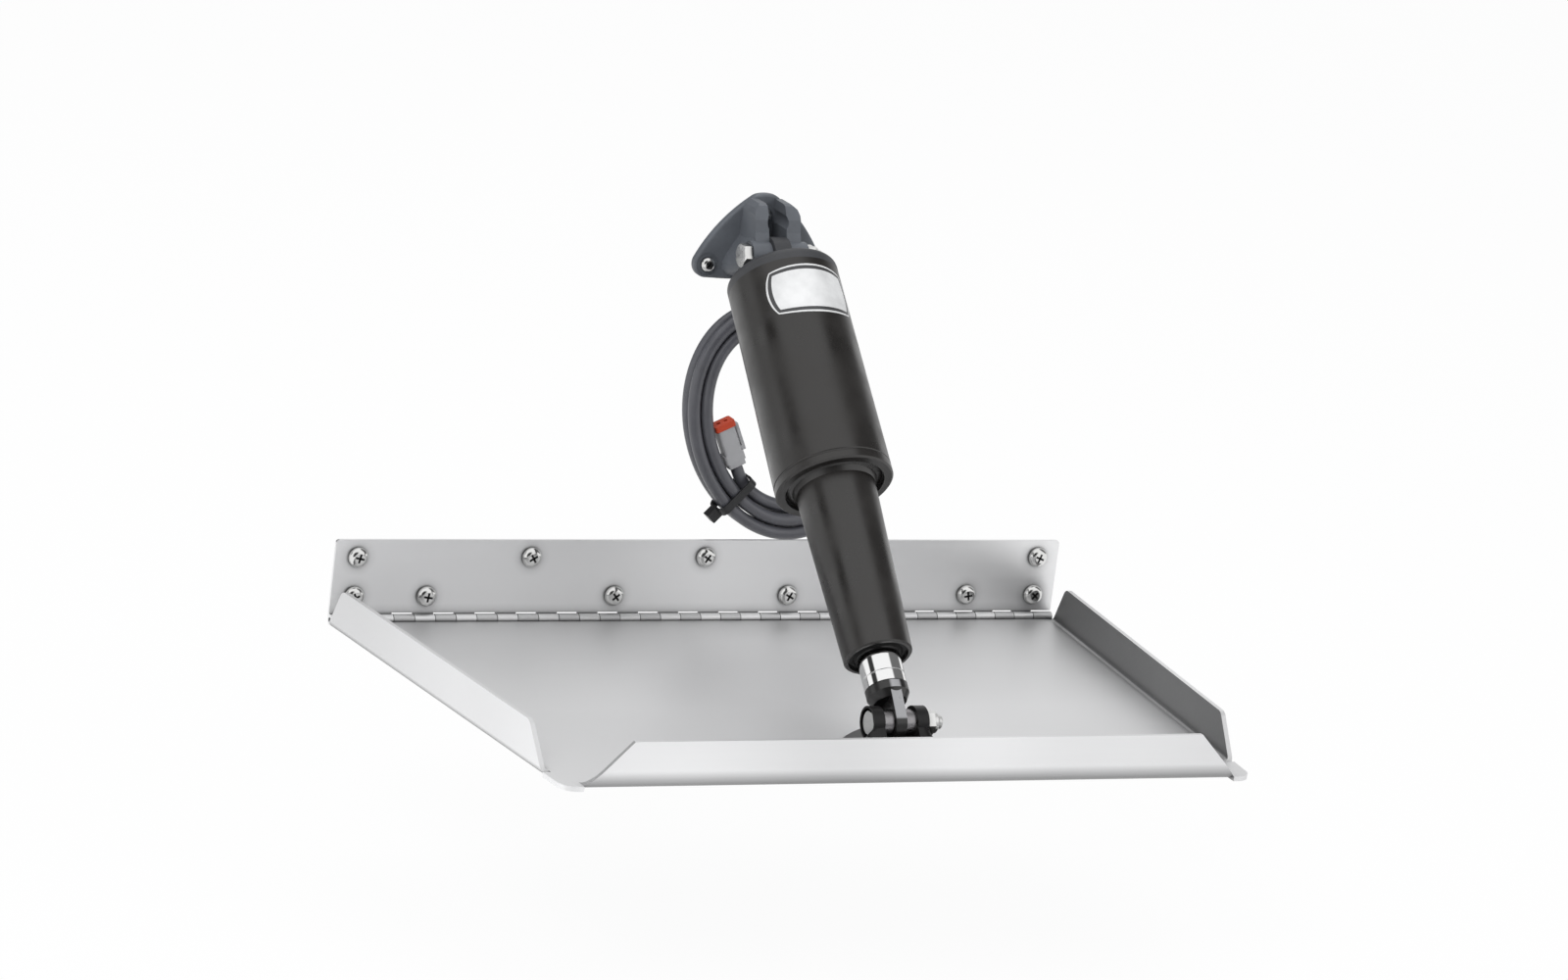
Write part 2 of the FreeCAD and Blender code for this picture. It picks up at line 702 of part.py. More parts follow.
def top_cap():
    spigot = bore_radius - fit_clearance
    profile = [(0, cap_face), (cap_radius, cap_face), (cap_radius, rim_foot), (spigot, rim_foot),
               (spigot, rim_foot + cap_spigot), (0, rim_foot + cap_spigot)]
    shoulder = lambda e: e.BoundBox.ZMax < cap_face + 0.01 and e.BoundBox.XLength > cap_radius
    lug = tongue(lug_radius, cap_face + overcut, lug_radius, lug_thickness)
    body = rounded(turned(profile), cap_round, shoulder).fuse(lug)
    eye = rod(Vector(-cap_radius, 0, 0), Vector(1, 0, 0), lug_bush_diameter / 2 + pivot_clearance,
              housing_top_diameter)
    cable_way = rod(Vector(0, -cable_offset, cap_face - overcut), Vector(0, 0, 1),
                    cable_diameter / 2 + grommet_clearance, cap_spigot + cap_rim + 2 * overcut)
    groove = groove_for_oring(spigot, rim_foot + oring_setback)
    return on_actuator(body.cut([eye, cable_way, groove]))


def oring(place):
    """A seal ring pressed to eight flats between its groove and the housing's bore."""
    half = oring_section / 2
    centre = bore_radius - fit_clearance / 2 - half
    corner = half / math.cos(math.pi / oring_flats)
    turns = [math.pi * (2 * i + 1) / oring_flats for i in range(oring_flats)]
    return on_actuator(turned([(centre + corner * math.cos(a), place + corner * math.sin(a)) for a in turns]))


def cap_oring():
    return oring(rim_foot + oring_setback)


def sleeve_oring():
    return oring(plug_foot - oring_setback)


def cable_gland():
    """The moulded relief where the cable leaves the cap."""
    profile = [(0, cap_face), (gland_diameter / 2, cap_face), (gland_diameter / 2, cap_face - gland_shoulder),
               (gland_tip_diameter / 2, cap_face - gland_length), (0, cap_face - gland_length)]
    shape = turned(profile)
    shape.translate(Vector(0, -cable_offset, 0))
    return on_actuator(shape)


def motor_housing():
    outer = housing_end_diameter / 2
    band_top = housing_end - housing_rim_band
    band = outer - housing_band_depth
    band_foot = band_top + housing_band_width
    profile = [(bore_radius, rim_foot), (cap_radius, rim_foot), (outer, band_top),
               (band, band_top + housing_band_slope), (band, band_foot - housing_band_slope),
               (outer, band_foot), (outer, housing_end - housing_edge), (outer - housing_edge, housing_end),
               (bore_radius, housing_end)]
    return on_actuator(turned(profile))


def ram_sleeve():
    top, foot = sleeve_top_diameter / 2, sleeve_end_diameter / 2
    plug = bore_radius - fit_clearance
    seat = bearing_diameter / 2 + fit_clearance
    shoulder = plug_top + bearing_width + face_gap
    bore_top = shoulder + sleeve_seat_wall
    bush = guide_bush_diameter / 2 + fit_clearance
    mouth = mouth_diameter / 2
    bush_foot = sleeve_end - mouth_depth
    bush_top = bush_foot - guide_bush_length
    journal = screw_diameter / 2 + journal_clearance
    profile = [(seat, plug_top), (plug, plug_top), (plug, plug_foot), (top + sleeve_flare, plug_foot),
               (top + flare_waist * sleeve_flare, plug_foot + flare_drop * sleeve_flare),
               (top, plug_foot + sleeve_flare), (foot, sleeve_end - sleeve_edge),
               (foot - sleeve_edge, sleeve_end), (mouth, sleeve_end), (mouth, bush_foot), (bush, bush_foot),
               (bush, bush_top), (sleeve_bore / 2, bush_top), (sleeve_bore / 2, bore_top),
               (journal, bore_top), (journal, shoulder), (seat, shoulder)]
    return on_actuator(turned(profile).cut(groove_for_oring(plug, plug_foot - oring_setback)))


def guide_bush():
    foot = sleeve_end - mouth_depth
    top = foot - guide_bush_length + fit_clearance
    return on_actuator(ring(guide_bush_diameter / 2, ram_diameter / 2 + pivot_clearance, top, foot))


def wiper_seal():
    inner, outer = ram_diameter / 2 + pivot_clearance, mouth_diameter / 2 - fit_clearance
    foot = sleeve_end - wiper_setback
    top = foot - wiper_height
    lip = foot - wiper_lip_height
    profile = [(inner, top), (outer, top), (outer, lip), (inner + wiper_lip_wide, lip),
               (inner + wiper_lip_narrow, foot), (inner, foot)]
    return on_actuator(turned(profile))


def ram():
    radius, bore = ram_diameter / 2, ram_bore / 2
    top = nut_top + drive_nut_length
    groove = ram_foot - ram_groove_up
    cut = radius - ram_groove_depth
    spigot = ram_spigot / 2 + fit_clearance
    spigot_top = ram_foot - ram_spigot_length - fit_clearance
    bore_foot = spigot_top - ram_bore_lead
    edge = ram_groove_half + ram_groove_slope
    profile = [(bore, top), (radius, top), (radius, groove - edge), (cut, groove - ram_groove_half),
               (cut, groove + ram_groove_half), (radius, groove + edge), (radius, ram_foot),
               (spigot, ram_foot), (spigot, spigot_top), (0, spigot_top), (0, bore_foot), (bore, bore_foot)]
    return on_actuator(turned(profile))


def drive_nut():
    outer, bore, spigot = nut_diameter / 2, screw_diameter / 2 + pivot_clearance, ram_bore / 2 - fit_clearance
    foot = nut_top + drive_nut_length
    profile = [(bore, nut_top), (outer, nut_top), (outer, foot), (spigot, foot), (spigot, foot + nut_spigot),
               (bore, foot + nut_spigot)]
    return on_actuator(turned(profile))


def ram_end():
    """The collar screwed into the ram, its taper and the flat tongue with its eye."""
    radius, low = ram_diameter / 2, ram_foot + collar_height
    profile = [(0, ram_foot - ram_spigot_length), (ram_spigot / 2, ram_foot - ram_spigot_length),
               (ram_spigot / 2, ram_foot), (radius - collar_edge, ram_foot), (radius, ram_foot + collar_edge),
               (radius, low),
               (collar_taper_diameter / 2, low + collar_taper), (0, low + collar_taper)]
    reach = pivot_distance - ram_foot - overcut
    flat = tongue(tongue_eye_radius, reach, radius - tongue_inset, tongue_thickness)
    flat = placed(flat, Vector(0, 0, pivot_distance), Vector(1, 0, 0), Vector(0, -1, 0), Vector(0, 0, -1))
    eye = rod(Vector(-radius, 0, pivot_distance), Vector(1, 0, 0), pivot_bolt / 2 + lower_eye_clearance, 2 * radius)
    ear_top = pivot_distance - lower_ear_radius - lower_ear_clearance
    clear = rod(Vector(0, 0, ear_top), Vector(0, 0, 1), 3 * radius, 4 * lower_ear_radius)
    body = turned(profile).cut(clear).fuse(flat)
    return on_actuator(body.cut(eye))


def gear(teeth, bore, phase):
    """A straight-flanked spur gear; a tooth's middle lies at the phase angle."""
    radius = gear_module * teeth / 2
    tip, root = radius + gear_addendum, radius - gear_dedendum
    half = (math.pi * gear_module / 2 - gear_backlash) / 2
    tip_half, root_half = half - flank_slope * gear_addendum, half + flank_slope * gear_dedendum
    points = []
    for i in range(teeth):
        middle = phase + 2 * math.pi * i / teeth
        for r, h in ((root, -root_half), (tip, -tip_half), (tip, tip_half), (root, root_half)):
            points.append((r * math.cos(middle + h / r), r * math.sin(middle + h / r), gear_top))
    body = prism(points, Vector(0, 0, gear_width))
    return body.cut(rod(Vector(0, 0, gear_top - overcut), Vector(0, 0, 1), bore, gear_width + 2 * overcut))


def screw_gear():
    return on_actuator(gear(gear_teeth, screw_diameter / 2 + gear_press, math.pi / 2))


def motor_pinion():
    """The pinion on the motor's shaft; a gap between teeth faces the screw gear's tooth."""
    phase = -math.pi / 2 + math.pi / pinion_teeth
    wheel = gear(pinion_teeth, motor_shaft / 2 - pinion_press, phase)
    start = motor_foot - motor_shaft_depth + overcut
    shaft = rod(Vector(0, 0, start), Vector(0, 0, 1), motor_shaft / 2, gear_foot - start)
    body = wheel.fuse(shaft)
    body.translate(Vector(0, gear_distance, 0))
    return on_actuator(body)


def lead_screw():
    top = plate_under + screw_end_gap
    radius = screw_diameter / 2
    collar = rod(Vector(0, 0, gear_foot + face_gap), Vector(0, 0, 1), radius + screw_collar_wall,
                 plug_top - gear_foot - 2 * face_gap)
    shaft = rod(Vector(0, 0, top), Vector(0, 0, 1), radius, screw_foot - top)
    shaft = shaft.makeChamfer(screw_edge, [e for e in shaft.Edges if e.BoundBox.ZMin > screw_foot - 0.01])
    return on_actuator(shaft.fuse(collar))


def thrust_bearing():
    inner, outer = screw_diameter / 2 + pivot_clearance, bearing_diameter / 2
    return on_actuator(ring(outer, inner, plug_top + bearing_gap, plug_top + bearing_width))


def gearbox_plate():
    shape = rod(Vector(0, 0, motor_foot), Vector(0, 0, 1), bore_radius - fit_clearance, gearbox_plate_thickness)
    boss = rod(Vector(0, gear_distance, motor_foot - overcut), Vector(0, 0, 1), motor_boss / 2 + fit_clearance,
               gearbox_plate_thickness + 2 * overcut)
    return on_actuator(shape.cut(boss))


def motor():
    can = rod(Vector(0, gear_distance, motor_foot - motor_length), Vector(0, 0, 1), motor_diameter / 2, motor_length)
    can = rounded(can, motor_edge, lambda e: e.BoundBox.ZMax < motor_foot - motor_length + 0.01)
    boss = rod(Vector(0, gear_distance, motor_foot), Vector(0, 0, 1), motor_boss / 2, motor_boss_height)
    shaft = rod(Vector(0, gear_distance, motor_foot - motor_shaft_depth), Vector(0, 0, 1),
                motor_shaft / 2 + pivot_clearance, 2 * motor_shaft_depth)
    return on_actuator(can.fuse(boss).cut(shaft))


def cable_start():
    """The gland's tip, in the row's own axes."""
    tip = cap_face - gland_length
    return upper_pivot + axis_out * -cable_offset + axis_down * tip


def cable_grommet():
    inner = cable_diameter / 2 + grommet_clearance
    outer = inner + grommet_wall - grommet_clearance
    profile = [(inner, 0), (outer, 0), (outer, flange_thickness), (outer + grommet_lip, flange_thickness),
               (outer + grommet_lip, flange_thickness + grommet_lip), (inner, flange_thickness + grommet_lip)]
    origin = Vector(bracket_x, 0, cable_hole_height())
    return placed(turned(profile), origin, Vector(1, 0, 0), Vector(0, 0, 1), Vector(0, -1, 0))


def cable_route():
    start = cable_start()
    turn = start - axis_down * cable_turn_lead
    behind = Vector(bracket_x, cable_behind, cable_hole_height())
    return [start, turn, behind] + [Vector(*p) for p in cable_points]


def rounded_path(points, label):
    """Straight runs joined by tangent arcs, each as large as its two runs allow."""
    edges, here = [], points[0]
    length = 0.0
    for before, corner, after in zip(points, points[1:], points[2:]):
        run_in, run_out = corner - before, after - corner
        turn = run_in.getAngle(run_out)
        lead = 0.45 * min(run_in.Length, run_out.Length)
        radius = lead / math.tan(turn / 2)
        print(label, "radius", round(radius, 1), "turn", round(math.degrees(turn), 1))
        into, out = run_in.normalize(), run_out.normalize()
        first, last = corner - into * lead, corner + out * lead
        side = (out - into).normalize()
        middle = corner + side * (radius / math.cos(turn / 2) - radius)
        edges += [Part.LineSegment(here, first).toShape(), Part.Arc(first, middle, last).toShape()]
        length += (first - here).Length + radius * turn
        here = last
    edges.append(Part.LineSegment(here, points[-1]).toShape())
    length += (points[-1] - here).Length
    return Part.Wire(edges), length


def cable_tube(points, label):
    path, length = rounded_path(points, label)
    radius = cable_diameter / 2
    section = Part.Wire([Part.Circle(points[0], points[1] - points[0], radius).toShape()])
    tube = path.makePipeShell([section], True, False)
    expected = math.pi * radius * radius * length
    print(label, "length", round(length, 1), "volume share", round(tube.Volume / expected, 4))
    return tube


def cable_run():
    return cable_tube(cable_route(), "cable_run")


def cable_tail():
    start = [connector_foot, connector_foot - connector_up * tail_lead]
    return cable_tube(start + [Vector(*p) for p in tail_points], "cable_tail")


def oval(half_width, half_height, depth):
    curve = Part.Ellipse(Vector(0, 0, 0), half_height, half_width)
    face = Part.Face(Part.Wire([curve.toShape()]))
    body = face.extrude(Vector(0, 0, depth))
    body.translate(Vector(0, 0, -depth / 2))
    return body


def cable_coil():
    """The wound cable's outer shape: an oval ring that stands behind the actuator."""
    outer = oval(coil_half_width, coil_half_height, coil_depth)
    outer = outer.makeChamfer(coil_edge, outer.Edges)
    inner = oval(coil_half_width - coil_bundle, coil_half_height - coil_bundle, 2 * coil_depth)
    coil = outer.cut(inner)
    return placed(coil, coil_centre, coil_up, coil_side, Vector(0, 1, 0))


def cable_tie():
    """A strap drawn round the coil and the tail, with its head on the outer side."""
    turn = math.radians(tie_angle)
    a, b = coil_half_width, coil_half_height
    outside = coil_centre + coil_side * (a * math.cos(turn)) + coil_up * (b * math.sin(turn))
    inward = (coil_side * (-math.cos(turn) / a) + coil_up * (-math.sin(turn) / b)).normalize()
    along = Vector(0, 1, 0).cross(inward)
    wide, deep = tie_reach + 2 * tie_gap, coil_depth + 2 * tie_gap
    t = tie_thickness
    strap = box(-tie_gap - t, wide + t - tie_gap, -deep / 2 - t, deep / 2 + t, -tie_width / 2, tie_width / 2)
    strap = rounded(strap, coil_edge, upright)
    hollow = box(-tie_gap, wide - tie_gap, -deep / 2, deep / 2, -tie_width, tie_width)
    strap = strap.cut(rounded(hollow, coil_edge - t, upright))
    length, depth, width = tie_head
    head = box(-tie_gap - t - length, -tie_gap - t / 2, -depth / 2, depth / 2, -width / 2, width / 2)
    return placed(strap.fuse(head), outside, inward, Vector(0, 1, 0), along * -1)


def on_connector(shape):
    """From the connector's own axes, Z up its length from the cable's end."""
    side = Vector(connector_up.z, 0, -connector_up.x)
    return placed(shape, connector_foot, side, Vector(0, 1, 0), connector_up)


def contact_ways():
    return [rod(Vector(side * contact_spacing / 2, 0, contact_foot), Vector(0, 0, 1), contact_diameter / 2,
                connector_length + wedge_height) for side in (-1, 1)]


def connector_body():
    w, d = connector_width / 2, connector_depth / 2
    shell = rounded(box(-w, w, -d, d, 0, connector_length), connector_corner, upright)
    low, high = connector_length * shoulder_from, connector_length * shoulder_to
    wide = w + shoulder_step
    shoulder = rounded(box(-wide, wide, -d, d, low, high), connector_corner, upright)
    latch_foot = connector_length - latch_length
    latch = box(w - latch_root, w + latch_width, -latch_half, latch_half, latch_foot, connector_length)
    relief = box(w, w + latch_width - latch_thickness, -2 * latch_half, 2 * latch_half,
                 latch_foot + latch_relief, connector_length + overcut)
    body = shell.fuse([shoulder, latch]).cut([relief] + contact_ways())
    return on_connector(body.removeSplitter())


def connector_wedge():
    w, d = wedge_width / 2, wedge_depth / 2
    top = connector_length + wedge_height
    wedge = rounded(box(-w, w, -d, d, connector_length, top), connector_corner, upright)
    return on_connector(wedge.cut(contact_ways()))


def connector_contacts():
    radius = contact_diameter / 2 - pivot_clearance
    pins = [rod(Vector(side * contact_spacing / 2, 0, contact_foot + fit_clearance), Vector(0, 0, 1), radius,
                connector_length - overcut)
            for side in (-1, 1)]
    return on_connector(Part.makeCompound(pins))


parts = {
    "transom_plate": transom_plate,
    "plate_screws": plate_screws,
    "hinge_pin": hinge_pin,
    "upper_bracket": upper_bracket,
    "upper_bracket_screws": upper_bracket_screws,
    "upper_pivot_bolt": lambda: pivot_bolt_at(upper_pivot, upper_ear_outer, upper_head_sink),
    "upper_pivot_nut": lambda: pivot_nut_at(upper_pivot, upper_ear_outer),
    "upper_pivot_bush": upper_pivot_bush,
    "cable_grommet": cable_grommet,
    "cable_run": cable_run,
    "cable_coil": cable_coil,
    "cable_tail": cable_tail,
    "cable_tie": cable_tie,
    "connector_body": connector_body,
    "connector_wedge": connector_wedge,
    "connector_contacts": connector_contacts,
    "blade": blade,
    "lower_bracket": lower_bracket,
    "lower_bracket_bolts": lower_bracket_bolts,
    "lower_bracket_nuts": lower_bracket_nuts,
    "lower_pivot_bolt": lambda: pivot_bolt_at(lower_pivot, lower_ear_outer, lower_head_sink),
    "lower_pivot_nut": lambda: pivot_nut_at(lower_pivot, lower_ear_outer),
    "lower_pivot_bushes": lower_pivot_bushes,
    "top_cap": top_cap,
    "cap_oring": cap_oring,
    "cable_gland": cable_gland,
    "motor_housing": motor_housing,
    "motor": motor,
    "gearbox_plate": gearbox_plate,
    "thrust_bearing": thrust_bearing,
    "ram_sleeve": ram_sleeve,
    "sleeve_oring": sleeve_oring,
    "guide_bush": guide_bush,
    "wiper_seal": wiper_seal,
    "ram": ram,
    "ram_end": ram_end,
    "drive_nut": drive_nut,
    "lead_screw": lead_screw,
    "screw_gear": screw_gear,
    "motor_pinion": motor_pinion,
}

os.makedirs("parts", exist_ok=True)
for name, make in parts.items():
    shape = make()
    shape.exportStep("parts/" + name + ".step")
    print(name, len(shape.Solids), round(shape.Volume, 1), shape.isValid())
print("upper pivot", upper_pivot, "lower pivot", lower_pivot, "hinge", hinge_y, hinge_z)
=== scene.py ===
import bpy
import math
from mathutils import Matrix, Vector


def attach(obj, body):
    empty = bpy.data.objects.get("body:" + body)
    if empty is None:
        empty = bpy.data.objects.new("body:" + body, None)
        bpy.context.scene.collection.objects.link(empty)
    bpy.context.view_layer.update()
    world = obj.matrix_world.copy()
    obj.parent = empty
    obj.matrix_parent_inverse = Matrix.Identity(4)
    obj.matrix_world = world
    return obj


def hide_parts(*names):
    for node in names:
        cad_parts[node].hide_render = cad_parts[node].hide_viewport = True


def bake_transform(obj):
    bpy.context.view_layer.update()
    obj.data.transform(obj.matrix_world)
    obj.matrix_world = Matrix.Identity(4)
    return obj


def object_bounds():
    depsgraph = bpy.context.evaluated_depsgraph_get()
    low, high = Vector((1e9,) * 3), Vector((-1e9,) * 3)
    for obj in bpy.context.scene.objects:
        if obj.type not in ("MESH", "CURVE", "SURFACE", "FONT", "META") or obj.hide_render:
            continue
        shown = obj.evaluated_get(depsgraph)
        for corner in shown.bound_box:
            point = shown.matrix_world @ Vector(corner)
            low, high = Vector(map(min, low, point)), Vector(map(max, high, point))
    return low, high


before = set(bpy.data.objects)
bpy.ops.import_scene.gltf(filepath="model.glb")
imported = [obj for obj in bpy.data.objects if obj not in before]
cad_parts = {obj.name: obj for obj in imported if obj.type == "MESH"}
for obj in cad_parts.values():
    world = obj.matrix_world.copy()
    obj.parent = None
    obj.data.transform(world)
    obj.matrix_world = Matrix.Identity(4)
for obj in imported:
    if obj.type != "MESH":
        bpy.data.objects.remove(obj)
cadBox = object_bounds()
print("frame loaded:", len(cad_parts), "nodes")

mm = 0.001
creaseAngle = math.radians(32)  # edges sharper than this stay sharp


def addObject(name, data):
    obj = bpy.data.objects.new(name, data)
    bpy.context.scene.collection.objects.link(obj)
    return obj


def pickOnly(obj):
    bpy.ops.object.select_all(action="DESELECT")
    obj.select_set(True)
    bpy.context.view_layer.objects.active = obj


def applyPlace():
    bpy.ops.object.transform_apply(location=True, rotation=True, scale=True)
    return bpy.context.object


def applyAll(obj):
    pickOnly(obj)
    for modifier in list(obj.modifiers):
        bpy.ops.object.modifier_apply(modifier=modifier.name)


def joinPieces(pieces):
    pickOnly(pieces[0])
    for piece in pieces:
        piece.select_set(True)
    bpy.ops.object.join()
    return pieces[0]


def editFaces(obj, wanted):
    pickOnly(obj)
    bpy.ops.object.mode_set(mode="EDIT")
    bpy.ops.mesh.select_mode(type="FACE")
    bpy.ops.mesh.select_all(action="DESELECT")
    bpy.ops.object.mode_set(mode="OBJECT")
    for face in obj.data.polygons:
        face.select = wanted(face)
    bpy.ops.object.mode_set(mode="EDIT")


# Camera, at the photograph's place and angle
camera = {
    "place": (-1.58583, -3.35944, 1.01456),
    "right": (0.90612081, -0.4053524, 0.12097321),
    "up": (-0.00413185, 0.27748126, 0.96072217),
    "lens": 153.01,
    "sensor": 36,
    "farthest": 30,
}


def addCamera():
    data = bpy.data.cameras.new("camera")
    data.lens = camera["lens"]
    data.sensor_width = camera["sensor"]
    data.clip_end = camera["farthest"]
    right, up = Vector(camera["right"]), Vector(camera["up"])
    turn = Matrix((right, up, right.cross(up))).transposed().to_4x4()
    eye = addObject("camera", data)
    eye.matrix_world = Matrix.Translation(camera["place"]) @ turn
    bpy.context.scene.camera = eye


addCamera()
print("camera placed")


# Cable: one cord from the cap's gland, through the bracket, round the coil and into the connector.
# Lengths in mm, angles in degrees from the top of the coil. The coil is an oval that leans over;
# its turns lie beside and on each other.
cable = {
    "diameter": 7.5,
    "lead": [(9.6, -20.16, 178.37), (9.6, -11.37, 186.54), (9.6, 11, 186.54),
             (17, 20.5, 183.5), (28.5, 21.5, 177), (41.5, 20.3, 168)],
    "centre": (45.4, 20.0, 87.3),
    "tilt": 26.2,
    "halfWidth": 57.1,
    "halfHeight": 75.3,
    "squeeze": 6.0,  # how much flatter one side of the oval is
    "pointsPerTurn": 16,
    "firstAngle": 40,
    "lastAngle": 1665,
    # Each turn's place: how far inside the oval, how far behind its middle
    "places": [(-4.4, 1.6), (4.0, 4.1), (4.0, -4.1), (12.1, -4.1), (12.1, 4.1), (20.0, 0.0)],
    # Where each turn starts to cross to the next place, over what angle, and how it swerves
    "shiftStart": [140, 115, 90, 68, 45],
    "shiftSpan": 35,
    "shiftBulge": [(-0.8, 3.8), (-0.2, -0.6), (-1.2, -3.3), (-0.2, 0.2), (4.0, 1.2)],
    "tail": [(29.3, 20, 47.6), (24.6, 20, 55.6), (22.2, 20, 60.8)],
    # A point straight behind the cord's exit
    "blendEnd": (9.6, -4.4, 178.37),
    "smoothness": 8,
    "roundness": 5,
}


def windingPoint(angle):
    turn = int(angle // 360)
    place = angle - 360 * turn
    share = min(max((place - cable["shiftStart"][turn]) / cable["shiftSpan"], 0), 1)
    share = share * share * (3 - 2 * share)  # starts and ends softly
    swerve = math.sin(math.pi * share)
    steps = zip(cable["places"][turn], cable["places"][turn + 1], cable["shiftBulge"][turn])
    inset, depth = [here + (there - here) * share + bulge * swerve for here, there, bulge in steps]
    sine, cosine = math.sin(math.radians(place)), math.cos(math.radians(place))
    width = (cable["halfWidth"] - inset - cable["squeeze"] * max(sine, 0) * sine) * sine
    height = (cable["halfHeight"] - inset) * cosine
    lean = math.radians(cable["tilt"])
    x, y, z = cable["centre"]
    return (x + width * math.cos(lean) - height * math.sin(lean), y + depth,
            z + width * math.sin(lean) + height * math.cos(lean))


def cableRoute():
    points = list(cable["lead"])
    angle = cable["firstAngle"]
    while angle < cable["lastAngle"]:
        points.append(windingPoint(angle))
        angle += 360 / cable["pointsPerTurn"]
    return [Vector(p) * mm for p in points + cable["tail"]]


def addSpline(name, points, radius):
    curve = bpy.data.curves.new(name, "CURVE")
    curve.dimensions = "3D"
    curve.resolution_u = cable["smoothness"]
    spline = curve.splines.new("NURBS")
    spline.points.add(len(points) - 1)
    for point, place in zip(spline.points, points):
        point.co = (*place, 1)
    spline.order_u = 3
    spline.use_endpoint_u = True
    curve.bevel_depth = radius
    curve.bevel_resolution = cable["roundness"]
    curve.use_fill_caps = radius > 0
    return addObject(name, curve)


def meshFrom(obj):
    bpy.context.view_layer.update()
    graph = bpy.context.evaluated_depsgraph_get()
    mesh = bpy.data.meshes.new_from_object(obj.evaluated_get(graph))
    bpy.data.objects.remove(obj)
    return mesh


def makeCable():
    route = cableRoute()
    path = [v.co.copy() for v in meshFrom(addSpline("cableLine", route, 0)).vertices]
    mesh = meshFrom(addSpline("cableBent", route, cable["diameter"] / 2 * mm))
    cord = addObject("cableCord", mesh)
    pickOnly(cord)
    bpy.ops.object.shade_smooth()
    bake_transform(cord)
    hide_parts("cable_run", "cable_coil", "cable_tail")
    return cord


cord = makeCable()


# Screws: pan heads with a cross recess on threaded shanks. Lengths in mm, turns in degrees. Each is
# made once, with its head below its own zero, and copies are then stood at its places.
plateScrew = {
    "head": 11.8, "headHeight": 4.2, "headRound": 3.3, "shank": 5.5, "root": 4.2, "pitch": 1.8,
    "grip": 2.2, "length": 28, "point": 5, "recess": 6.2, "recessWide": 1.35, "recessDeep": 2.4,
    "places": [(x, -1.9, 11.5) for x in (-215, -109, 0, 109, 215)]
              + [(x, -1.9, -11.5) for x in (-215, 215, -171, 171, -55, 55)],
    "turns": [12, 58, 33, 71, 20, 64, 41, 8, 80, 50, 27],
}
bracketScrew = {
    "head": 8.6, "headHeight": 3.4, "headRound": 2.5, "shank": 4.8, "root": 3.7, "pitch": 1.6,
    "grip": 4.2, "length": 16, "point": 4, "recess": 4.8, "recessWide": 1.15, "recessDeep": 2.0,
    "places": [(-22.4, -4.0, 186.0), (41.6, -4.0, 186.0), (9.6, -4.0, 215.6)],
    "turns": [35, 62, 15],
}
bladeBolt = {
    "head": 8.6, "headHeight": 3.4, "headRound": 2.5, "shank": 4.8, "root": 3.9, "pitch": 0.8,
    "grip": 6.8, "length": 16.2, "point": 0.8,
    "recess": 4.8, "recessWide": 1.15, "recessDeep": 2.0,
    "places": [(-22.4, -261.0, -21.5), (41.6, -261.0, -21.5), (9.6, -231.4, -21.5)],
    "turns": [48, 10, 75],
}
screwMaking = {
    "sides": 40, "shankSides": 20, "roundSteps": 6, "threadSteps": 18,
    "endOn": 0.9,  # a face whose normal lies this far along the axis is an end
    "over": 0.5,  # how far the recess's cutter stands out of the head
    "recessTaper": (0.35, 0.6, 1),
    "leastPoint": 0.12,  # the tip's least share of the root's width
    # Faces inside the recess: below its rim, down to its floor, and within this share of its reach
    "rimGap": 0.1, "floorGap": 0.05, "recessShare": 0.9,
}


def screwHead(size):
    radius, height = size["head"] / 2 * mm, size["headHeight"] * mm
    bpy.ops.mesh.primitive_cylinder_add(vertices=screwMaking["sides"], radius=radius,
                                        depth=height, location=(0, 0, -height / 2))
    head = applyPlace()
    editFaces(head, lambda face: face.normal.z < -screwMaking["endOn"])
    bpy.ops.mesh.bevel(offset=size["headRound"] * mm, segments=screwMaking["roundSteps"],
                       profile=0.5)
    bpy.ops.object.mode_set(mode="OBJECT")
    deep, over = size["recessDeep"] * mm, screwMaking["over"] * mm
    for quarter in (0, math.pi / 2):
        bpy.ops.mesh.primitive_cube_add(
            size=1, location=(0, 0, -height + (deep - over) / 2),
            scale=(size["recess"] * mm, size["recessWide"] * mm, deep + over))
        slot = applyPlace()
        editFaces(slot, lambda face: face.normal.z > screwMaking["endOn"])
        bpy.ops.transform.resize(value=screwMaking["recessTaper"])
        bpy.ops.object.mode_set(mode="OBJECT")
        slot.data.transform(Matrix.Rotation(quarter, 4, "Z"))
        cut = head.modifiers.new("recess", "BOOLEAN")
        cut.operation = "DIFFERENCE"
        cut.object = slot
        applyAll(head)
        bpy.data.objects.remove(slot)
    return head


def screwShank(size):
    root, straight = size["root"] / 2 * mm, (size["length"] - size["point"]) * mm
    bpy.ops.mesh.primitive_cylinder_add(vertices=screwMaking["shankSides"], radius=root,
                                        depth=straight, location=(0, 0, straight / 2))
    shank = applyPlace()
    editFaces(shank, lambda face: face.normal.z > screwMaking["endOn"])
    bpy.ops.mesh.extrude_region_move(
        TRANSFORM_OT_translate={"value": (0, 0, size["point"] * mm)})
    narrow = max(screwMaking["leastPoint"], 1 - size["point"] / size["root"])
    bpy.ops.transform.resize(value=(narrow, narrow, 1))
    bpy.ops.object.mode_set(mode="OBJECT")
    return shank


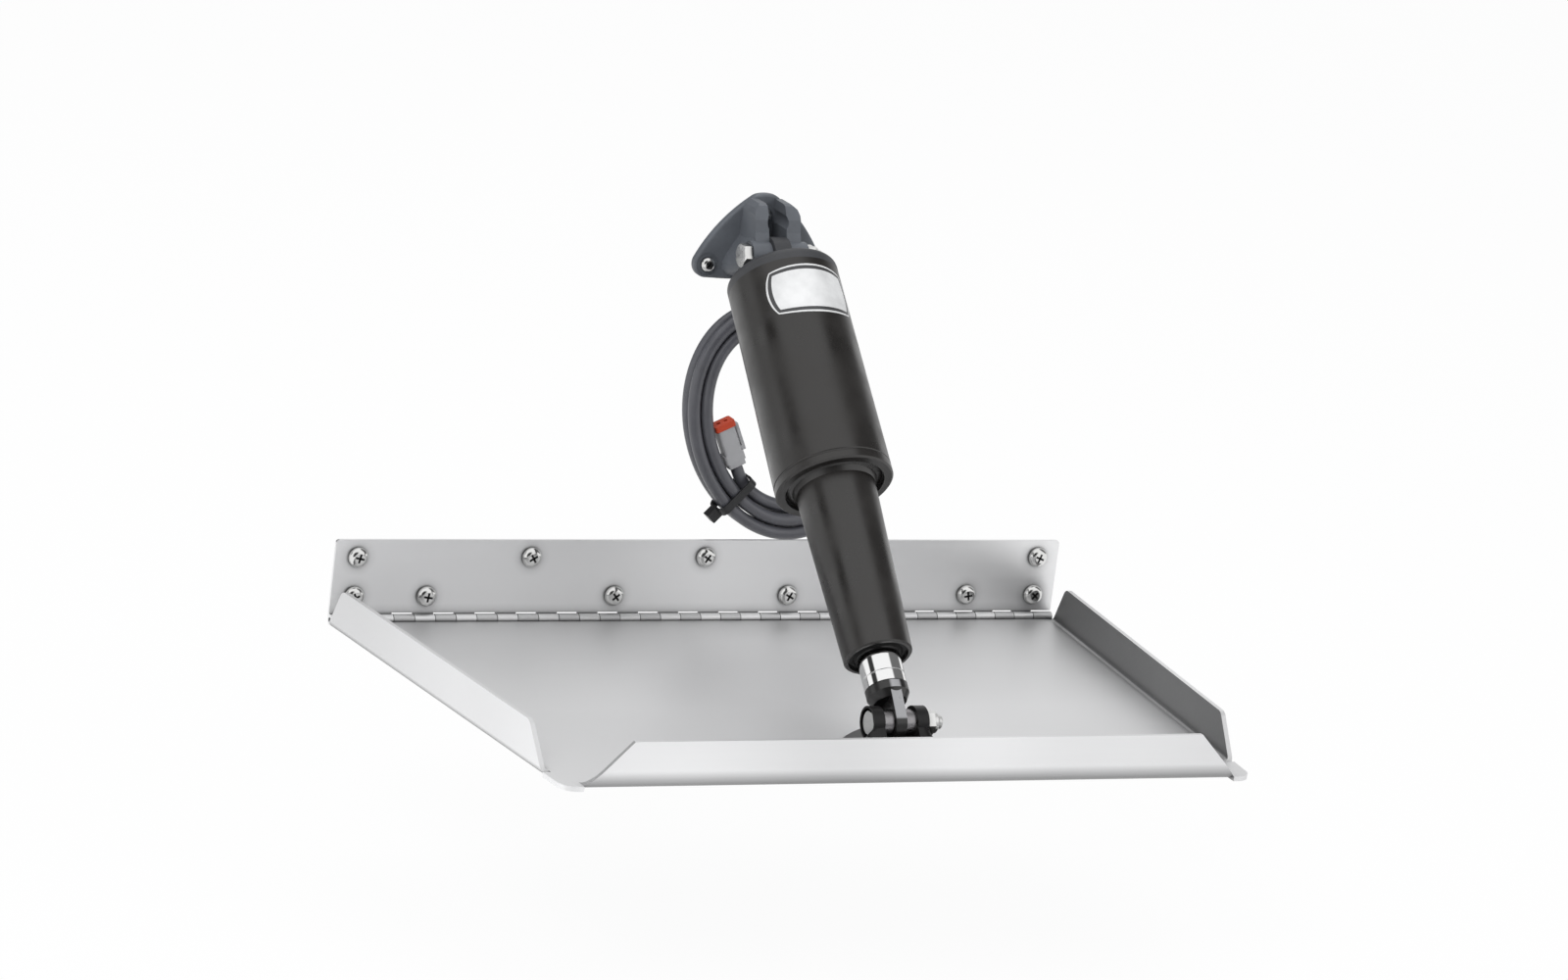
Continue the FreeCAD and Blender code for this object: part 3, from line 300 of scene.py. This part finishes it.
def screwThread(size):
    root, rise = size["root"] / 2 * mm, (size["shank"] - size["root"]) / 2 * mm
    pitch = size["pitch"] * mm
    bpy.ops.mesh.primitive_circle_add(
        vertices=3, radius=rise, location=(root, 0, size["grip"] * mm + pitch / 2),
        rotation=(math.pi / 2, math.pi / 2, 0))
    ridge = applyPlace()
    threaded = size["length"] - size["point"] - size["grip"]
    wind = ridge.modifiers.new("wind", "SCREW")
    wind.screw_offset = pitch
    wind.iterations = int(threaded / size["pitch"]) - 1
    wind.steps = wind.render_steps = screwMaking["threadSteps"]
    applyAll(ridge)
    bpy.ops.object.mode_set(mode="EDIT")
    bpy.ops.mesh.select_all(action="SELECT")
    bpy.ops.mesh.fill_holes(sides=3)
    bpy.ops.mesh.select_all(action="SELECT")
    bpy.ops.mesh.normals_make_consistent(inside=False)
    bpy.ops.object.mode_set(mode="OBJECT")
    return ridge


def recessFaces(mesh, size):
    rim = (-size["headHeight"] + screwMaking["rimGap"]) * mm
    floor = (size["recessDeep"] - size["headHeight"] + screwMaking["floorGap"]) * mm
    reach = size["recess"] / 2 * mm * screwMaking["recessShare"]
    return [face.index for face in mesh.polygons
            if rim < face.center.z < floor and math.hypot(face.center.x, face.center.y) < reach]


def putFinishes(mesh, most, some, someFaces):
    mesh.materials.clear()
    mesh.materials.append(finishes[most])
    mesh.materials.append(finishes[some])
    for index in someFaces:
        mesh.polygons[index].material_index = 1


def makeScrews(name, size, body, node, stand):
    screw = joinPieces([screwHead(size), screwShank(size), screwThread(size)])
    pickOnly(screw)
    bpy.ops.object.shade_smooth_by_angle(angle=creaseAngle)
    putFinishes(screw.data, "fixingSteel", "recessShade", recessFaces(screw.data, size))
    for number, (place, turn) in enumerate(zip(size["places"], size["turns"]), 1):
        mesh = screw.data.copy()
        mesh.transform(Matrix.Translation(Vector(place) * mm) @ stand
                       @ Matrix.Rotation(math.radians(turn), 4, "Z"))
        piece = addObject(name + str(number), mesh)
        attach(piece, body)
        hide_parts(node)
    bpy.data.objects.remove(screw)
    print(name, "made:", len(size["places"]))


# The actuator's axis, from its upper pivot down along the ram, and the way its front faces. In mm.
axis = {
    "pivot": (9.6, -26.0, 196.7),
    "down": (0, -0.732546528, -0.680716963),
    "front": (0, -0.680716963, 0.732546528),
}

# Label: a plain blank plate stuck on the front of the motor housing. Lengths in mm, "along" is
# measured down the axis and "around" in degrees from the front.
label = {
    "along": 41.5, "around": 2.0, "halfWide": 28.0, "halfTall": 16.0,
    "soften": 0.5,  # 0 is a rectangle, 1 is an oval
    "columns": 48, "rows": 28, "thick": 0.3, "sink": 0.05,
    "margin": 0.055, "line": 0.11,  # the dark line lies between these shares of the half width
    "topAlong": 20.8, "topRadius": 32.0, "footAlong": 153.2, "footRadius": 33.6,  # its housing
}


def makeLabel():
    bpy.ops.mesh.primitive_grid_add(x_subdivisions=label["columns"],
                                    y_subdivisions=label["rows"], size=2)
    plate = bpy.context.object
    plate.name = "blankLabel"
    mesh = plate.data
    squat = label["halfTall"] / label["halfWide"]
    lineFaces = [face.index for face in mesh.polygons
                 if label["margin"] < min(1 - abs(face.center.x),
                                          (1 - abs(face.center.y)) * squat) < label["line"]]
    pivot, down, front = [Vector(axis[part]) for part in ("pivot", "down", "front")]
    side = Vector((1, 0, 0))
    keep = 1 - label["soften"]
    for vertex in mesh.vertices:
        u, v = vertex.co.x, vertex.co.y
        wide = label["halfWide"] * u * (keep + label["soften"] * math.sqrt(1 - v * v / 2))
        tall = label["halfTall"] * v * (keep + label["soften"] * math.sqrt(1 - u * u / 2))
        along = label["along"] - tall
        share = (along - label["topAlong"]) / (label["footAlong"] - label["topAlong"])
        radius = (label["topRadius"] + share * (label["footRadius"] - label["topRadius"])
                  - label["sink"])
        angle = math.radians(label["around"]) + wide / radius
        vertex.co = (pivot + down * along
                     + (front * math.cos(angle) + side * math.sin(angle)) * radius) * mm
    putFinishes(mesh, "labelWhite", "labelEdge", lineFaces)
    shell = plate.modifiers.new("thickness", "SOLIDIFY")
    shell.thickness = label["thick"] * mm
    shell.offset = 1
    applyAll(plate)
    bpy.ops.object.shade_smooth_by_angle(angle=creaseAngle)
    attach(plate, "actuator")
    print("label made")


# Nodes: an input is given a fixed value, or another node's output to link to it
def fillInputs(tree, node, inputs):
    for socket, value in inputs.items():
        if isinstance(value, bpy.types.NodeSocket):
            tree.links.new(value, node.inputs[socket])
        else:
            node.inputs[socket].default_value = value
    return node


def addNode(tree, kind, inputs):
    return fillInputs(tree, tree.nodes.new(kind), inputs)


def addMath(tree, operation, first, second):
    node = addNode(tree, "ShaderNodeMath", {0: first, 1: second})
    node.operation = operation
    return node.outputs["Value"]


def addFacing(tree, direction, towards):
    node = addNode(tree, "ShaderNodeVectorMath", {0: direction, 1: towards})
    node.operation = "DOT_PRODUCT"
    return node.outputs["Value"]


def addRange(tree, source, span, to, kind="LINEAR"):
    node = addNode(tree, "ShaderNodeMapRange", {
        "Value": source, "From Min": span[0], "From Max": span[1],
        "To Min": to[0], "To Max": to[1]})
    node.interpolation_type = kind
    return node.outputs["Result"]


def mixShaders(tree, share, plain, bright, outKind):
    mix = addNode(tree, "ShaderNodeMixShader", {"Fac": share, 1: plain, 2: bright})
    addNode(tree, outKind, {"Surface": mix.outputs["Shader"]})


# Stage: a pale floor, soft lamps and a white studio. Shiny surfaces also see its darker corners.
stage = {
    "floorDrop": 120 * mm,  # clear of the blade when it is right down
    "floorSize": 14,
    "floorTone": (0.86, 0.86, 0.86, 1),
    "floorGlow": 0.95,
    "floorShine": 0.83,
    "surroundTone": (0.96, 0.98, 1, 1),
    "surroundGlow": 0.55,
    "lampAim": (0, -0.12, 0.06),
}

darkCorners = [  # direction, angle that is fully dark, angle where it ends, how dark
    {"towards": (0.44, 0.85, 0.29), "core": 8, "end": 40, "depth": 0.22},
    {"towards": (-0.33, -0.90, 0.28), "core": 18, "end": 33, "depth": 0.96},
    {"towards": (-0.32, 0.91, 0.28), "core": 24, "end": 38, "depth": 0.96},
    {"towards": (-0.87, 0.18, 0.46), "core": 8, "end": 16, "depth": 0.96},
    {"towards": (0.78, 0.08, 0.60), "core": 25, "end": 34, "depth": 0.84},
]

lamps = [
    {"name": "keyLamp", "place": (-1.6, -1.5, 1.9), "size": 1.1, "watts": 32},
    {"name": "fillLamp", "place": (2.0, -1.8, 1.2), "size": 1.4, "watts": 14},
    {"name": "topLamp", "place": (0.2, 0.9, 2.2), "size": 1.4, "watts": 18},
]


def addFloor():
    lowest = cadBox[0][2] - stage["floorDrop"]
    bpy.ops.mesh.primitive_plane_add(size=stage["floorSize"], location=(0, 0, lowest))
    floor = bpy.context.object
    floor.name = "floor"
    mat = bpy.data.materials.new("floorPaper")
    mat.use_nodes = True
    tree = mat.node_tree
    tree.nodes.clear()
    rays = tree.nodes.new("ShaderNodeLightPath")
    glow = tree.nodes.new("ShaderNodeEmission")
    paper = addNode(tree, "ShaderNodeBsdfDiffuse", {"Color": stage["floorTone"]})
    seen = addMath(tree, "MULTIPLY", rays.outputs["Is Camera Ray"], stage["floorGlow"])
    shine = addMath(tree, "MULTIPLY", rays.outputs["Is Glossy Ray"], stage["floorShine"])
    share = addMath(tree, "MAXIMUM", seen, shine)
    mixShaders(tree, share, paper.outputs["BSDF"], glow.outputs["Emission"],
               "ShaderNodeOutputMaterial")
    floor.data.materials.append(mat)


def addWorld():
    world = bpy.data.worlds.new("surround")
    bpy.context.scene.world = world
    world.use_nodes = True
    tree = world.node_tree
    tree.nodes.clear()
    rays = tree.nodes.new("ShaderNodeLightPath")
    place = tree.nodes.new("ShaderNodeTexCoord")
    shade = 1.0
    for corner in darkCorners:
        facing = addFacing(tree, place.outputs["Generated"], Vector(corner["towards"]).normalized())
        span = [math.cos(math.radians(corner[angle])) for angle in ("end", "core")]
        edge = addRange(tree, facing, span, (1.0, 1.0 - corner["depth"]), "SMOOTHSTEP")
        shade = addMath(tree, "MULTIPLY", shade, edge)
    tint = addMath(tree, "MAXIMUM", shade, rays.outputs["Is Camera Ray"])
    white = addNode(tree, "ShaderNodeBackground", {"Color": tint})
    soft = addNode(tree, "ShaderNodeBackground", {
        "Color": stage["surroundTone"], "Strength": stage["surroundGlow"]})
    direct = addMath(tree, "MAXIMUM", rays.outputs["Is Camera Ray"], rays.outputs["Is Glossy Ray"])
    share = addMath(tree, "MAXIMUM", direct, rays.outputs["Is Transmission Ray"])
    mixShaders(tree, share, soft.outputs["Background"], white.outputs["Background"],
               "ShaderNodeOutputWorld")


def addLamps():
    for lamp in lamps:
        data = bpy.data.lights.new(lamp["name"], "AREA")
        data.size = lamp["size"]
        data.energy = lamp["watts"]
        place = Vector(lamp["place"])
        turn = (Vector(stage["lampAim"]) - place).to_track_quat("-Z", "Y").to_matrix().to_4x4()
        obj = addObject(lamp["name"], data)
        obj.matrix_world = Matrix.Translation(place) @ turn
        obj.visible_glossy = False  # the metal mirrors the studio, not the lamps


addFloor()
addWorld()
addLamps()
bpy.context.scene.view_settings.view_transform = "Standard"
print("stage set")


# Finishes. Tones and roughness vary between these shares of the finish's own. Depths are in metres.
noiseLook = {"even": (1, 1, 1), "span": (0.3, 0.7), "roughness": 0.55}
# painted shade in corners: how the occlusion is sampled and mapped to a darker colour
cornerShadeLook = {"samples": 8, "span": (0.35, 0.95)}
sheetLook = {
    "metallic": 0.8,
    "cloud": (4.5, 3.0, 3.0), "cloudDetail": 1.0, "cloudSpan": (0.35, 0.65),
    "dark": 0.88, "light": 1.10, "lightest": 0.97,
    "brushed": (12, 900, 900), "brushedDetail": 2.0, "smoothest": 0.92, "roughest": 1.08,
    "bump": 0.05, "bumpDepth": 0.00002, "cornerShadeReach": 0.006, "cornerShadeLeast": 0.12,
}
# Painted highlight and shade on the blade, by the way its faces turn and by their distance from the
# hinge
bladePaintedLight = {  # spans are of the normal's parts, and in metres from the hinge
    "finSpan": (0.70, 0.85), "sideSpan": (-0.05, 0.05), "outside": 1.14, "inside": 0.38,
    "underSpan": (-0.75, -0.10), "under": 0.38,
    "hingeSpan": (-0.17, -0.01), "byHinge": 0.80,
}
metalLook = {
    "grain": 900.0, "grainDetail": 3.0, "dark": 0.96, "smoothest": 0.8, "roughest": 1.25,
    "cornerShadeLeast": 0.06,
}
plasticLook = {
    "cloud": 45.0, "cloudDetail": 4.0, "dark": 0.85, "light": 1.2,
    "grain": 1500.0, "grainDetail": 2.0, "bump": 0.35, "bumpDepth": 0.00003,
}
# painted highlight on faces turned to the actuator's front
highlightLook = {"gloss": 0.7, "span": (0.955, 0.985)}
finishes = {}


def toShader(tree, inputs):
    fillInputs(tree, tree.nodes["Principled BSDF"], inputs)


def newFinish(name, tone, roughness, metallic):
    mat = bpy.data.materials.new(name)
    mat.use_nodes = True
    toShader(mat.node_tree, {
        "Base Color": (*tone, 1), "Roughness": roughness, "Metallic": metallic})
    finishes[name] = mat
    return mat.node_tree


def times(tone, share, most=1.0):
    return tuple(min(share * t, most) for t in tone)


def placeOn(tree, output):
    return tree.nodes.new("ShaderNodeTexCoord").outputs[output]


def addNoise(tree, stretch, scale, detail):
    mapping = addNode(tree, "ShaderNodeMapping", {
        "Vector": placeOn(tree, "Object"), "Scale": stretch})
    noise = addNode(tree, "ShaderNodeTexNoise", {
        "Vector": mapping.outputs["Vector"], "Scale": scale, "Detail": detail,
        "Roughness": noiseLook["roughness"]})
    return noise.outputs["Fac"]


def addRamp(tree, source, span, tones):
    ramp = addNode(tree, "ShaderNodeValToRGB", {"Fac": source})
    for element, position, tone in zip(ramp.color_ramp.elements, span, tones):
        element.position = position
        element.color = (*tone, 1)
    return ramp.outputs["Color"]


def varyRoughness(tree, noise, smoothest, roughest):
    toShader(tree, {"Roughness": addRange(tree, noise, noiseLook["span"], (smoothest, roughest))})


def addBump(tree, height, strength, depth):
    bump = addNode(tree, "ShaderNodeBump", {
        "Height": height, "Strength": strength, "Distance": depth})
    toShader(tree, {"Normal": bump.outputs["Normal"]})


def multiplyColour(tree, colour, shade):
    mix = tree.nodes.new("ShaderNodeMix")
    mix.data_type = "RGBA"
    mix.blend_type = "MULTIPLY"
    fillInputs(tree, mix, {"Factor": 1.0, 6: colour, 7: shade})  # the two colours, A and B
    return mix.outputs[2]


# Painted shade: the colour is darkened where ambient occlusion finds corners, creases and recesses
# close by
def addCornerShade(tree, colour, reach, least):
    corner = addNode(tree, "ShaderNodeAmbientOcclusion", {"Distance": reach})
    corner.samples = cornerShadeLook["samples"]
    shade = addRange(tree, corner.outputs["AO"], cornerShadeLook["span"], (least, 1.0))
    toShader(tree, {"Base Color": multiplyColour(tree, colour, shade)})


# Painted light on the blade: a painted highlight on the fins' outer faces, painted shade on their
# inner faces, on the underside and on the strip by the hinge
def paintBladeLightAndShade(tree, colour):
    normal = addNode(tree, "ShaderNodeSeparateXYZ", {"Vector": placeOn(tree, "Normal")})
    place = addNode(tree, "ShaderNodeSeparateXYZ", {"Vector": placeOn(tree, "Object")})
    sideways = addMath(tree, "ABSOLUTE", normal.outputs["X"], 0)
    onFins = addRange(tree, sideways, bladePaintedLight["finSpan"], (0.0, 1.0))
    finSides = addRange(tree, normal.outputs["Y"], bladePaintedLight["sideSpan"],
                        (bladePaintedLight["outside"] - 1, bladePaintedLight["inside"] - 1))
    shade = addMath(tree, "ADD", addMath(tree, "MULTIPLY", onFins, finSides), 1)
    under = addRange(tree, normal.outputs["Z"], bladePaintedLight["underSpan"], (bladePaintedLight["under"], 1.0))
    shade = addMath(tree, "MULTIPLY", shade, under)
    byHinge = addRange(tree, place.outputs["Y"], bladePaintedLight["hingeSpan"],
                       (1.0, bladePaintedLight["byHinge"]))
    return multiplyColour(tree, colour, addMath(tree, "MULTIPLY", shade, byHinge))


def brushedSteel(name, tone, roughness, isBlade=False):
    look = sheetLook
    tree = newFinish(name, tone, roughness, look["metallic"])
    cloud = addNoise(tree, look["cloud"], 1, look["cloudDetail"])
    tones = (times(tone, look["dark"]), times(tone, look["light"], look["lightest"]))
    colour = addRamp(tree, cloud, look["cloudSpan"], tones)
    # the blade gets painted highlight and shade
    if isBlade:
        colour = paintBladeLightAndShade(tree, colour)
    addCornerShade(tree, colour, look["cornerShadeReach"], look["cornerShadeLeast"])
    fine = addNoise(tree, look["brushed"], 1, look["brushedDetail"])
    varyRoughness(tree, fine, look["smoothest"] * roughness, look["roughest"] * roughness)
    addBump(tree, fine, look["bump"], look["bumpDepth"])


def plainMetal(name, tone, roughness, cornerShadeReach=0):
    look = metalLook
    tree = newFinish(name, tone, roughness, 1.0)
    grain = addNoise(tree, noiseLook["even"], look["grain"], look["grainDetail"])
    # painted shade in corners and recesses
    if cornerShadeReach:
        colour = addRamp(tree, grain, noiseLook["span"], (times(tone, look["dark"]), tone))
        addCornerShade(tree, colour, cornerShadeReach, look["cornerShadeLeast"])
    varyRoughness(tree, grain, look["smoothest"] * roughness, look["roughest"] * roughness)


def mouldedPlastic(name, tone, roughness, grainScale=plasticLook["grain"], gloss=0.5, patchy=0.08):
    look = plasticLook
    tree = newFinish(name, tone, roughness, 0.0)
    cloud = addNoise(tree, noiseLook["even"], look["cloud"], look["cloudDetail"])
    tones = (times(tone, look["dark"]), times(tone, look["light"]))
    toShader(tree, {
        "Specular IOR Level": gloss,
        "Base Color": addRamp(tree, cloud, noiseLook["span"], tones)})
    varyRoughness(tree, cloud, roughness * (1 - patchy), roughness * (1 + patchy))
    grain = addNoise(tree, noiseLook["even"], grainScale, look["grainDetail"])
    addBump(tree, grain, look["bump"], look["bumpDepth"])
    return tree


# Painted highlight: faces turned to the actuator's front take the lighter tone
def paintedHighlightFace(name, tone, highlightTone, roughness):
    tree = mouldedPlastic(name, tone, roughness, gloss=highlightLook["gloss"])
    facing = addFacing(tree, placeOn(tree, "Normal"), axis["front"])
    toShader(tree, {"Base Color": addRamp(tree, facing, highlightLook["span"], (tone, highlightTone))})


brushedSteel("plateSteel", (0.89, 0.89, 0.90), 0.38)
brushedSteel("bladeSteel", (0.85, 0.85, 0.855), 0.46, isBlade=True)
plainMetal("pinSteel", (0.10, 0.10, 0.105), 0.4)
plainMetal("fixingSteel", (0.78, 0.78, 0.77), 0.16, cornerShadeReach=0.004)
plainMetal("boltSteel", (0.90, 0.90, 0.89), 0.32, cornerShadeReach=0.005)
plainMetal("recessShade", (0.10, 0.10, 0.10), 0.5)
mouldedPlastic("labelWhite", (0.70, 0.70, 0.70), 0.4)
mouldedPlastic("labelEdge", (0.05, 0.05, 0.052), 0.4)
mouldedPlastic("slatePlastic", (0.110, 0.119, 0.134), 0.46)
mouldedPlastic("blackPlastic", (0.009, 0.0085, 0.009), 0.30, gloss=0.32)
mouldedPlastic("housingPlastic", (0.012, 0.0105, 0.0095), 0.34, gloss=0.75, patchy=0.3)
mouldedPlastic("capPlastic", (0.045, 0.046, 0.050), 0.48)
mouldedPlastic("sleevePlastic", (0.012, 0.0105, 0.0095), 0.32, gloss=0.8, patchy=0.3)
plainMetal("ramChrome", (0.90, 0.90, 0.90), 0.07)
# painted highlight on the ram end's front faces
paintedHighlightFace("endPlastic", (0.010, 0.0095, 0.0095), (0.36, 0.36, 0.37), 0.28)
plainMetal("bushSteel", (0.34, 0.33, 0.34), 0.3)
mouldedPlastic("bushPlastic", (0.10, 0.10, 0.10), 0.4)
mouldedPlastic("cableSheath", (0.078, 0.079, 0.091), 0.36, 700.0, gloss=0.8)
mouldedPlastic("sealRubber", (0.006, 0.006, 0.006), 0.4, gloss=0.15)
mouldedPlastic("connectorGrey", (0.36, 0.36, 0.37), 0.45)
mouldedPlastic("wedgeOrange", (0.50, 0.06, 0.025), 0.42, gloss=0.3)
mouldedPlastic("tieBlack", (0.018, 0.018, 0.019), 0.4)
plainMetal("contactMetal", (0.75, 0.62, 0.32), 0.25)
plainMetal("bronze", (0.60, 0.38, 0.18), 0.32)
plainMetal("motorSteel", (0.50, 0.50, 0.52), 0.35)
plainMetal("plateAluminium", (0.72, 0.73, 0.74), 0.38)
mouldedPlastic("gearPlastic", (0.72, 0.71, 0.66), 0.4)
plainMetal("pinionSteel", (0.42, 0.42, 0.43), 0.3)

painted = {
    "transom_plate": "plateSteel", "hinge_pin": "pinSteel", "blade": "bladeSteel",
    "lower_bracket_nuts": "fixingSteel",
    "upper_pivot_bolt": "boltSteel", "upper_pivot_nut": "boltSteel",
    "lower_pivot_bolt": "boltSteel", "lower_pivot_nut": "boltSteel",
    "upper_bracket": "slatePlastic", "lower_bracket": "blackPlastic",
    "top_cap": "capPlastic", "motor_housing": "housingPlastic", "ram_sleeve": "sleevePlastic",
    "ram": "ramChrome", "ram_end": "endPlastic",
    "lower_pivot_bushes": "bushSteel", "upper_pivot_bush": "bushPlastic",
    "guide_bush": "blackPlastic",
    "cable_gland": "cableSheath", "cable_grommet": "sealRubber", "wiper_seal": "sealRubber",
    "cap_oring": "sealRubber", "sleeve_oring": "sealRubber",
    "connector_body": "connectorGrey", "connector_wedge": "wedgeOrange",
    "connector_contacts": "contactMetal", "cable_tie": "tieBlack",
    "drive_nut": "bronze", "motor": "motorSteel", "thrust_bearing": "motorSteel",
    "lead_screw": "pinionSteel", "gearbox_plate": "plateAluminium",
    "screw_gear": "gearPlastic", "motor_pinion": "pinionSteel",
}

for nodeName, finishName in painted.items():
    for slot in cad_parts[nodeName].material_slots:
        slot.material = finishes[finishName]
cord.data.materials.clear()
cord.data.materials.append(finishes["cableSheath"])

# How a screw is stood: with its head outwards on the transom, and on top of the blade
intoTransom = Matrix(((1, 0, 0, 0), (0, 0, 1, 0), (0, -1, 0, 0), (0, 0, 0, 1)))
intoBlade = Matrix.Rotation(math.pi, 4, "X")
makeScrews("plateScrew", plateScrew, "mounting", "plate_screws", intoTransom)
makeScrews("bracketScrew", bracketScrew, "mounting", "upper_bracket_screws",
           intoTransom)
makeScrews("bladeBolt", bladeBolt, "blade", "lower_bracket_bolts", intoBlade)
makeLabel()
print("finishes on")
